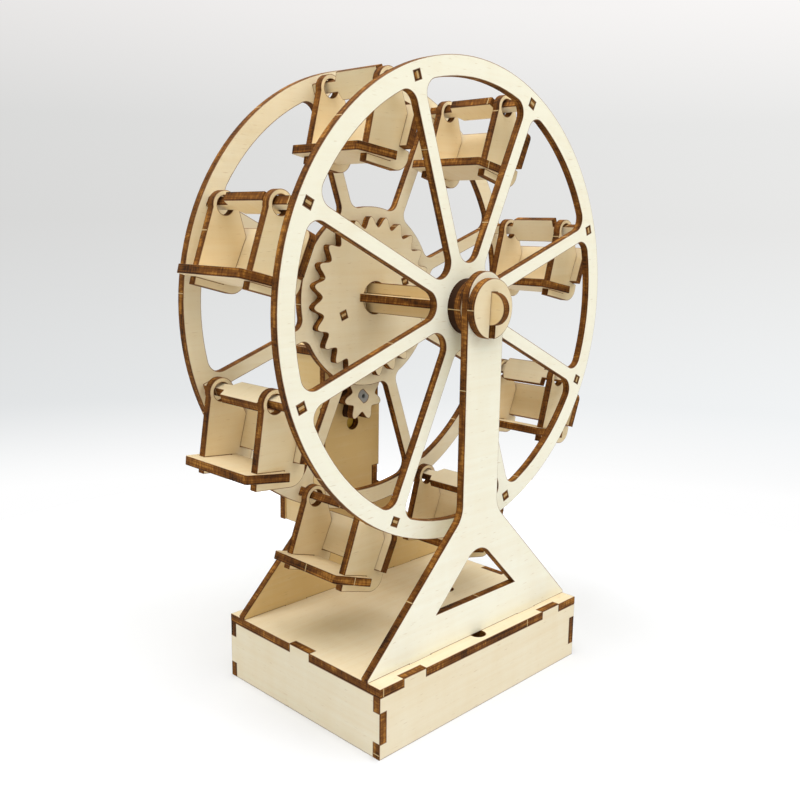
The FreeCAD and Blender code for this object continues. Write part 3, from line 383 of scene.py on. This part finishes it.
def charred_edge():
    """The laser-cut edge: three plies under char, with fine striations and pale nicks."""
    finish = Finish("charred_edge")
    along, depth = finish.layout("cut")
    streak = finish.pattern(along, depth, CHAR_STREAK)
    patch = finish.pattern(along, depth, CHAR_PATCH)
    ply = finish.pattern(along, depth, CHAR_PLY)

    # Above 0 where the char is light, below 0 where it is dark
    char = 1.1 * streak + 1.3 * patch + 0.7 * ply - 1.55

    # The plies from 0 to 1 through the plate, for bar ends too
    layer = depth / PLY
    end = layer.step(1.9, 2.1)
    layer = layer - BAR_END_PLIES * end
    off_middle = abs(layer - 0.5)
    glue = 1.0 - abs(off_middle - 0.17).step(0.01, 0.05)
    wander = 0.12 * patch - 0.04
    rim = 1.0 - (layer + wander).step(0.02, 0.20) * (1.0 - (layer - wander).step(0.80, 0.98))

    # Dark sides on a bar's end, seen in a rim's slot, are painted shade of the slot's gap round
    # it; the pale core is the bare end grain
    side = abs((along / PLY).fraction() - 0.5).step(0.30, 0.46)
    # Painted shade: the sides of a bar's end are darkened where the slot's gap is in shade
    tone = 0.62 + 1.15 * char - 0.20 * glue - 0.60 * rim - 0.55 * end * side
    colour = tone.step(0.10, 0.62).mix(linear(CHAR_DARK), linear(CHAR_BROWN))
    colour = tone.step(0.60, 1.05).mix(colour, linear(CHAR_LIGHT))
    core = end * (1.0 - side) * (1.0 - off_middle.step(0.10, 0.20)) * CORE_SHARE
    colour = core.mix(colour, linear(BARE_CORE))

    # A nick where a bridge to the sheet was broken off
    jitter = finish.noise(finish.vector(along * JITTER_MARKS, 0.5), detail=1.0) * NICK_JITTER
    gap = abs((along / NICK_SPACING + jitter).fraction() - 0.5) * NICK_SPACING
    nick = 1.0 - gap.step(NICK_WIDTH * 0.35, NICK_WIDTH * 0.65)
    colour = (nick * NICK_SHARE).mix(colour, linear(NICK_COLOUR))
    finish.set("Base Color", colour)
    finish.set("Roughness", 0.72 + 0.12 * streak)
    finish.set("Specular IOR Level", 0.15)
    finish.bump(streak + 0.8 * nick, 0.12 * MM, 0.6)
    return finish.material


def moulded(name, colour, roughness):
    """A moulded plastic with faint flow marks and a fine satin texture."""
    finish = Finish(name)
    flow = finish.noise(finish.place(), FLOW_MARKS, 3.0)
    fine = finish.noise(finish.place(), SATIN_MARKS)
    darker = tuple(value * FLOW_SHADE for value in colour)
    finish.set("Base Color", flow.step(0.25, 0.75).mix(linear(darker), linear(colour)))
    finish.set("Roughness", roughness + 0.12 * flow)
    finish.bump(fine, 0.03 * MM, 0.35)
    return finish.material


def plated_steel():
    """Bright plated steel with turning rings and a faint stain."""
    finish = Finish("plated_steel")
    height = finish.node("ShaderNodeSeparateXYZ", output="Z", Vector=finish.place())
    rings = finish.noise(finish.vector(0.0, 0.0, height * TURNING_RINGS))
    stain = finish.noise(finish.place(), STAIN_MARKS, 3.0)
    finish.set("Base Color", stain.step(0.3, 0.8).mix(linear(STEEL_BRIGHT), linear(STEEL_DULL)))
    finish.set("Metallic", 1.0)
    finish.set("Roughness", 0.26 + 0.18 * rings + 0.12 * stain)
    finish.bump(rings, 0.02 * MM, 0.3)
    return finish.material


# Plywood plates, cut again from the frame's solids with the laser's kerf and its layout

def shells(mesh):
    """The separate solids of a merged copy of a CAD mesh, as lists of faces in a fixed order."""
    left = set(mesh.faces)
    for start in mesh.faces:
        if start not in left:
            continue
        left.remove(start)
        shell = [start]
        front = [start]
        while front:
            for edge in front.pop().edges:
                for face in edge.link_faces:
                    if face in left:
                        left.remove(face)
                        shell.append(face)
                        front.append(face)
        yield shell


def plate_axis(shell):
    """The direction that most of a plate's surface faces."""
    areas = {}
    for face in shell:
        key = tuple(round(abs(value), 3) for value in face.normal)
        total, kept = areas.get(key, (0.0, face.normal.copy()))
        areas[key] = (total + face.calc_area(), kept)
    axis = max(areas.values(), key=lambda pair: pair[0])[1]
    lead = max(axis, key=abs)
    return axis.normalized() if lead > 0 else -axis.normalized()


def grain_direction(axis):
    """Level in every plate, and from left to right in a plate that lies flat."""
    if abs(axis.z) > FLAT_PLATE:
        return (Vector((1, 0, 0)) - axis * axis.x).normalized()
    return Vector((0, 0, 1)).cross(axis).normalized()


def outline_loops(shell, axis, top):
    """The closed outlines of a plate's upper face, its wood on their left."""
    chosen = dict.fromkeys(face for face in shell if face.normal.dot(axis) > SAME_WAY
                           and abs(face.verts[0].co.dot(axis) - top) < SAME_LEVEL)
    following = {}
    for face in chosen:
        for loop in face.loops:
            inside = [other for other in loop.edge.link_faces if other in chosen]
            if len(inside) == 1:
                following[loop.vert] = loop.link_loop_next.vert
    loops = []
    while following:
        start = min(following, key=lambda vertex: tuple(vertex.co))
        vertex = following.pop(start)
        points = [start.co]
        while vertex != start:
            points.append(vertex.co)
            vertex = following.pop(vertex)
        loops.append(points)
    return loops


def without_straight_points(points):
    kept = []
    count = len(points)
    for index, point in enumerate(points):
        before = (point - points[index - 1]).normalized()
        after = (points[(index + 1) % count] - point).normalized()
        if before.dot(after) < STRAIGHT_ON:
            kept.append(point)
    return kept


def inset(points, width):
    """A closed 2-D outline moved to its left."""
    moved = []
    count = len(points)
    for index, point in enumerate(points):
        before = (point - points[index - 1]).normalized()
        after = (points[(index + 1) % count] - point).normalized()
        left = Vector((-before.y, before.x))
        right = Vector((-after.y, after.x))
        reach = width / max(1.0 + left.dot(right), MITRE_LIMIT)
        moved.append(point + (left + right) * reach)
    return moved


class Plate:
    """Gathers the points, faces and layouts of one node's plates."""

    def __init__(self):
        self.points = []
        self.smoke = []
        self.faces = []
        self.layouts = []
        self.cuts = []

    def ring(self, outline, place, level, smoke):
        start = len(self.points)
        for point in outline:
            self.points.append(place(point, level))
            self.smoke.append(smoke)
        return range(start, len(self.points))

    def face(self, corners, layout, cut):
        self.faces.append(corners)
        self.layouts.append(layout)
        self.cuts.append(cut)


def cut_plate(plate, shell, shift):
    """Adds one solid plate, with a bevelled and smoked edge on both faces."""
    axis = plate_axis(shell)
    levels = [vertex.co.dot(axis) for face in shell for vertex in face.verts]
    bottom, top = min(levels), max(levels)
    grain = grain_direction(axis)
    cross = axis.cross(grain)
    outlines = []
    for points in outline_loops(shell, axis, top):
        flat = [Vector((point.dot(grain), point.dot(cross))) for point in points]
        outlines.append(without_straight_points(flat))

    def place(point, level):
        return grain * point.x + cross * point.y + axis * level

    for side, level, inner in ((1, top, top - KERF_DEPTH), (-1, bottom, bottom + KERF_DEPTH)):
        rings = []
        for outline in outlines:
            kerf = inset(outline, KERF_WIDTH)
            smoke = inset(outline, SMOKE_WIDTH)
            edge_ring = plate.ring(outline, place, inner, 1.0)
            kerf_ring = plate.ring(kerf, place, level, KERF_SMOKE)
            smoke_ring = plate.ring(smoke, place, level, 0.0)
            for outer, nearer, first, second in ((edge_ring, kerf_ring, outline, kerf),
                                                 (kerf_ring, smoke_ring, kerf, smoke)):
                strip(plate, outer, nearer, first, second, shift, side)
            rings.append((smoke, smoke_ring))
        cap(plate, rings, shift, side)
    wall(plate, outlines, place, bottom + KERF_DEPTH, top - KERF_DEPTH, shift)


def strip(plate, outer, nearer, first, second, shift, side):
    """Quads between two rings of one face."""
    count = len(first)
    for index in range(count):
        after = (index + 1) % count
        corners = [outer[index], outer[after], nearer[after], nearer[index]]
        layout = [first[index] + shift, first[after] + shift,
                  second[after] + shift, second[index] + shift]
        if side < 0:
            corners.reverse()
            layout.reverse()
        plate.face(corners, layout, False)


def cap(plate, rings, shift, side):
    """The veneer inside the smoked rings, in triangles."""
    points = []
    numbers = []
    edges = []
    for outline, ring in rings:
        start = len(points)
        points += outline
        numbers += ring
        count = len(outline)
        edges += [(start + index, start + (index + 1) % count) for index in range(count)]
    _, _, faces, sources, _, _ = delaunay_2d_cdt(points, edges, [], 0, TRIANGLE_GAP)
    triangles = [[sources[index][0] for index in face] for face in faces]
    for kept in in_the_wood(triangles, points, edges):
        corners = [numbers[index] for index in kept]
        layout = [points[index] + shift for index in kept]
        turn = (layout[1] - layout[0]).cross(layout[2] - layout[0])
        if turn * side < 0:
            corners.reverse()
            layout.reverse()
        plate.face(corners, layout, False)


def in_the_wood(triangles, points, edges):
    """The triangles whose middle lies inside the outlines and outside the holes."""
    flat = np.array(points)
    starts = flat[[first for first, second in edges]]
    ends = flat[[second for first, second in edges]]
    for triangle in triangles:
        across, up = flat[triangle].mean(axis=0)
        spans = (starts[:, 1] > up) != (ends[:, 1] > up)
        low, high = starts[spans], ends[spans]
        share = (up - low[:, 1]) / (high[:, 1] - low[:, 1])
        crossings = low[:, 0] + share * (high[:, 0] - low[:, 0]) > across
        if crossings.sum() % 2:
            yield triangle


def wall(plate, outlines, place, bottom, top, shift):
    """The cut edge round each outline, laid out by its length and depth.

    A bar's end has three plies added to its depth and starts at a whole number of plies.
    """
    for turn, outline in enumerate(outlines):
        low = plate.ring(outline, place, bottom, 1.0)
        high = plate.ring(outline, place, top, 1.0)
        count = len(outline)
        length = OUTLINE_SHIFT * (turn + 1) + shift.x
        for index in range(count):
            after = (index + 1) % count
            bar_end = is_bar_end(outline, index)
            if bar_end:
                length = math.ceil(length / PLY) * PLY
            further = length + (outline[after] - outline[index]).length
            corners = [low[index], low[after], high[after], high[index]]
            base = BAR_END_PLIES * PLY if bar_end else 0.0
            rise = base + top - bottom
            layout = [Vector((length, base)), Vector((further, base)),
                      Vector((further, rise)), Vector((length, rise))]
            plate.face(corners, layout, True)
            length = further


def is_bar_end(outline, index):
    """Whether a side is as long as the plywood is thick, between two square corners."""
    count = len(outline)
    before, start, end, beyond = (outline[(index + step) % count] for step in (-1, 0, 1, 2))
    side = end - start
    slants = (side.dot((start - before).normalized()), side.dot((beyond - end).normalized()))
    square = max(abs(slant) for slant in slants) < SQUARE_CORNER * PLY
    return square and abs(side.length - PLY) < SAME_LEVEL


def plywood(node, body, number, finishes):
    """A plywood node's piece, in the place of its CAD solid."""
    source = bmesh.new()
    source.from_mesh(frame["nodes"][node].data)
    bmesh.ops.remove_doubles(source, verts=source.verts, dist=SAME_POINT)
    source.normal_update()
    plate = Plate()
    shift = Vector([step * number for step in NODE_SHIFT])
    for order, shell in enumerate(shells(source)):
        cut_plate(plate, shell, shift + Vector(PLATE_SHIFT) * order)
    source.free()
    mesh = bpy.data.meshes.new(node + "_cut")
    mesh.from_pydata(plate.points, [], plate.faces)
    grain = mesh.uv_layers.new(name="grain")
    cut = mesh.uv_layers.new(name="cut")
    for polygon, layout, edge in zip(mesh.polygons, plate.layouts, plate.cuts):
        polygon.material_index = 1 if edge else 0
        layer = cut if edge else grain
        for corner, place in zip(polygon.loop_indices, layout):
            layer.data[corner].uv = place
    # Painted shade: the sheet's tone by node, darker and warmer for the pieces that sit further
    # back or inside
    warmth = next(value for word, value in SHEET_TONE_AND_SHADE if word in node)
    for name, values in (("smoke", plate.smoke), ("warmth", [warmth] * len(plate.points))):
        attribute = mesh.attributes.new(name, "FLOAT", "POINT")
        attribute.data.foreach_set("value", values)
    merge_points(mesh)
    mesh.shade_smooth()
    mesh.set_sharp_from_angle(angle=SHARP_ANGLE)
    for finish in finishes:
        mesh.materials.append(finish)
    piece = bpy.data.objects.new(node + "_cut", mesh)
    bpy.context.scene.collection.objects.link(piece)
    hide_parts(node)
    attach(piece, body)


def merge_points(mesh):
    """Joins the rings that share a place, so that the piece is closed."""
    work = bmesh.new()
    work.from_mesh(mesh)
    bmesh.ops.remove_doubles(work, verts=work.verts, dist=SAME_RING_POINT)
    work.to_mesh(mesh)
    work.free()


def dress_plywood():
    finishes = (veneer(), charred_edge())
    slots = {part["node"]: part["material_slot"] for part in frame["record"]["subparts"]}
    bodies = frame["record"]["behaviour"]["bodies"]
    cut_nodes = [(node, body) for body, nodes in bodies.items() for node in nodes
                 if slots[node] == PLYWOOD_SLOT]
    for number, (node, body) in enumerate(cut_nodes):
        plywood(node, body, number, finishes)


# The motor, the battery case and what is on its cover

def dress_hardware():
    black = moulded("black_case", CASE_BLACK, 0.5)
    steel = plated_steel()
    looks = {
        "motor_gearbox": moulded("yellow_gearbox", GEARBOX_YELLOW, 0.42),
        "motor_can": steel,
        "motor_shaft": moulded("grey_shaft", SHAFT_GREY, 0.40),
        "battery_case": black,
        "battery_cover": black,
        "switch_slider": moulded("switch_knob", KNOB_GREY, 0.38),
        "battery_cells": moulded("cell_jacket", CELL_GREY, 0.22),
    }
    for node, finish in looks.items():
        mesh = frame["nodes"][node].data
        mesh.materials.clear()
        mesh.materials.append(finish)
    dress_cover(black, steel)


def dress_cover(black, steel):
    """Grip ribs and a screw head on the underside of the battery cover."""
    low, high = (Vector(corner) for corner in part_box("battery_cover"))
    middle = (low.y + high.y) / 2
    ribs = grown("cover_ribs", grip_ribs(black), {
        "First rib": (low.x + RIBS_INSET, middle, low.z),
        "Ribs": RIB_COUNT,
        "Spacing": RIB_SPACING,
        "Length": RIB_LENGTH,
        "Radius": RIB_RADIUS,
    })
    screw = grown("cover_screw", screw_head(steel), {
        "Place": (low.x + SCREW_INSET, middle, low.z),
        "Radius": SCREW_RADIUS,
        "Height": SCREW_HEIGHT,
        "Recess": SCREW_RECESS,
    })
    for piece, slot in ((ribs, "case_plastic"), (screw, "motor_steel")):
        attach(piece, "stand")


def grip_ribs(material):
    """Round grip ribs in a row, sunk to their middle in the cover."""
    tree, size = rule_tree("grip_ribs", {"First rib": "Vector", "Ribs": "Int",
                                         "Spacing": "Float", "Length": "Float",
                                         "Radius": "Float"})
    front = make_node(tree, "ShaderNodeCombineXYZ", Y=size["Length"] * -0.5)
    back = make_node(tree, "ShaderNodeCombineXYZ", Y=size["Length"] * 0.5)
    line = make_node(tree, "GeometryNodeCurvePrimitiveLine", Start=front, End=back)
    section = make_node(tree, "GeometryNodeCurvePrimitiveCircle", Resolution=RIB_SIDES,
                        Radius=size["Radius"])
    rib = make_node(tree, "GeometryNodeCurveToMesh", Curve=line, Profile_Curve=section,
                    Fill_Caps=True)
    spacing = make_node(tree, "ShaderNodeCombineXYZ", X=size["Spacing"])
    row = make_node(tree, "GeometryNodeMeshLine", Count=size["Ribs"],
                    Start_Location=size["First rib"], Offset=spacing)
    copies = make_node(tree, "GeometryNodeInstanceOnPoints", Points=row, Instance=rib)
    return finish_tree(tree, copies, material)


def screw_head(material):
    """A flat screw head with a cross recess, facing down."""
    tree, size = rule_tree("screw_head", {"Place": "Vector", "Radius": "Float",
                                          "Height": "Float", "Recess": "Float"})
    outline = make_node(tree, "GeometryNodeCurvePrimitiveCircle", Resolution=SCREW_SIDES,
                        Radius=size["Radius"])
    cross = make_node(tree, "GeometryNodeCurveStar", Points=4, Outer_Radius=size["Recess"],
                      Inner_Radius=size["Recess"] * RECESS_WAIST)
    inner = make_node(tree, "GeometryNodeCurvePrimitiveCircle", Resolution=SCREW_SIDES,
                      Radius=size["Radius"] * RECESS_FLOOR_WIDTH)
    head = solid(tree, joined(tree, cross, outline), size["Height"])
    recess_floor = solid(tree, inner, size["Height"] * RECESS_FLOOR_HEIGHT)
    turned = make_node(tree, "GeometryNodeTransform", Geometry=joined(tree, head, recess_floor),
                       Translation=size["Place"], Rotation=(math.pi, 0.0, 0.0))
    return finish_tree(tree, turned, material)


# Geometry Nodes trees

def rule_tree(name, inputs):
    """A tree and its named inputs, as fields by name."""
    tree = bpy.data.node_groups.new(name, "GeometryNodeTree")
    tree.interface.new_socket("Geometry", in_out="OUTPUT", socket_type="NodeSocketGeometry")
    for label, kind in inputs.items():
        tree.interface.new_socket(label, in_out="INPUT", socket_type="NodeSocket" + kind)
    entry = make_node(tree, "NodeGroupInput")
    return tree, {label: entry.output(label) for label in inputs}


def finish_tree(tree, geometry, material):
    """Ends a tree in Realize Instances and Set Material."""
    real = make_node(tree, "GeometryNodeRealizeInstances", Geometry=geometry)
    dressed = make_node(tree, "GeometryNodeSetMaterial", Geometry=real, Material=material)
    make_node(tree, "NodeGroupOutput", Geometry=dressed)
    return tree


def joined(tree, *parts):
    return make_node(tree, "GeometryNodeJoinGeometry", Geometry=list(parts))


def solid(tree, outline, height):
    """A closed solid raised from a filled outline."""
    face = make_node(tree, "GeometryNodeFillCurve", Curve=outline)
    raised = make_node(tree, "GeometryNodeExtrudeMesh", Mesh=face, Offset_Scale=height,
                       Individual=False)
    underside = make_node(tree, "GeometryNodeFlipFaces", Mesh=face)
    return make_node(tree, "GeometryNodeMergeByDistance", Distance=SAME_RING_POINT,
                     Geometry=joined(tree, raised, underside))


def grown(name, tree, sizes):
    """A plain mesh piece made by a tree, with the values of the tree's inputs by name."""
    holder = bpy.data.objects.new(name + "_rule", bpy.data.meshes.new(name + "_rule"))
    bpy.context.scene.collection.objects.link(holder)
    rule = holder.modifiers.new("rule", "NODES")
    rule.node_group = tree
    for item in tree.interface.items_tree:
        if item.in_out == "INPUT":
            rule[item.identifier] = sizes[item.name]
    seen_holder = holder.evaluated_get(bpy.context.evaluated_depsgraph_get())
    mesh = bpy.data.meshes.new_from_object(seen_holder)
    bpy.data.objects.remove(holder)
    mesh.name = name
    piece = bpy.data.objects.new(name, mesh)
    bpy.context.scene.collection.objects.link(piece)
    return piece


# The studio

def shown(tree):
    """1 for what the camera sees, also in a reflection or through something clear."""
    path = make_node(tree, "ShaderNodeLightPath", output="Is Camera Ray")
    return (path + path.output("Is Glossy Ray") + path.output("Is Transmission Ray")).clamp()


def white_table():
    """A table that stays white in the light and keeps the object's soft shadow."""
    mesh = bpy.data.meshes.new("table")
    work = bmesh.new()
    bmesh.ops.create_circle(work, cap_ends=True, segments=TABLE_SIDES, radius=TABLE_RADIUS)
    work.to_mesh(mesh)
    work.free()
    table = bpy.data.objects.new("table", mesh)
    bpy.context.scene.collection.objects.link(table)
    finish = Finish("white_table")
    finish.set("Base Color", linear(TABLE_COLOUR))
    finish.set("Roughness", 0.9)
    finish.set("Emission Color", (1.0, 1.0, 1.0, 1.0))
    distance = finish.node("ShaderNodeVectorMath", {"operation": "LENGTH"}, "Value",
                           Vector=finish.place())
    glow = GLOW_NEAR + GLOW_GAIN * distance.step(GLOW_START, GLOW_END)
    finish.set("Emission Strength", shown(finish.tree) * glow)
    mesh.materials.append(finish.material)


def backdrop():
    """Pale grey over white where the camera looks, and an even room light on the object."""
    world = bpy.data.worlds.new("studio")
    world.use_nodes = True
    bpy.context.scene.world = world
    tree = world.node_tree
    tree.nodes.clear()
    place = make_node(tree, "ShaderNodeTexCoord", output="Generated")
    height = make_node(tree, "ShaderNodeSeparateXYZ", output="Z", Vector=place)
    grey = make_node(tree, "ShaderNodeValToRGB", {"stops": BACKDROP}, Fac=height + 0.5)
    across = make_node(tree, "ShaderNodeVectorMath", {"operation": "DOT_PRODUCT"}, "Value",
                       n0=place, n1=LEVEL_RIGHT)
    shade = 1.0 + across * BACKDROP_SLANT * height.step(SLANT_START, SLANT_END)
    wall_seen = make_node(tree, "ShaderNodeBackground", Color=grey, Strength=shade)
    room = make_node(tree, "ShaderNodeBackground", Color=linear(ROOM_COLOUR), Strength=ROOM_LIGHT)
    both = make_node(tree, "ShaderNodeMixShader", n0=shown(tree), n1=room, n2=wall_seen)
    make_node(tree, "ShaderNodeOutputWorld", Surface=both)


def lamp(name, place, width, watts):
    light = bpy.data.lights.new(name, "AREA")
    light.shape = "DISK"
    light.size = width
    light.energy = watts
    light.color = linear(LAMP_COLOUR)[:3]
    holder = bpy.data.objects.new(name, light)
    holder.location = place
    aim = Vector(LAMP_TARGET) - Vector(place)
    holder.rotation_euler = aim.to_track_quat("-Z", "Y").to_euler()
    bpy.context.scene.collection.objects.link(holder)


def studio():
    for name, place, width, watts in LAMPS:
        lamp(name, place, width, watts)
    white_table()
    backdrop()


def camera():
    """The camera at the photograph's angle and distance."""
    back = Vector((math.sin(CAMERA_AZIMUTH) * math.cos(CAMERA_ELEVATION),
                   -math.cos(CAMERA_AZIMUTH) * math.cos(CAMERA_ELEVATION),
                   math.sin(CAMERA_ELEVATION)))
    level = Vector(LEVEL_RIGHT)
    upright = back.cross(level)
    right = level * math.cos(CAMERA_ROLL) + upright * math.sin(CAMERA_ROLL)
    up = upright * math.cos(CAMERA_ROLL) - level * math.sin(CAMERA_ROLL)
    data = bpy.data.cameras.new("camera")
    data.lens = CAMERA_FOCAL
    data.sensor_width = SENSOR_WIDTH
    data.clip_start = CAMERA_NEAR
    holder = bpy.data.objects.new("camera", data)
    turned = Matrix((right, up, back)).transposed().to_4x4()
    holder.matrix_world = Matrix.Translation(CAMERA_PLACE) @ turned
    bpy.context.scene.collection.objects.link(holder)
    bpy.context.scene.camera = holder


bpy.context.scene.view_settings.view_transform = "Standard"
dress_plywood()
dress_hardware()
studio()
camera()
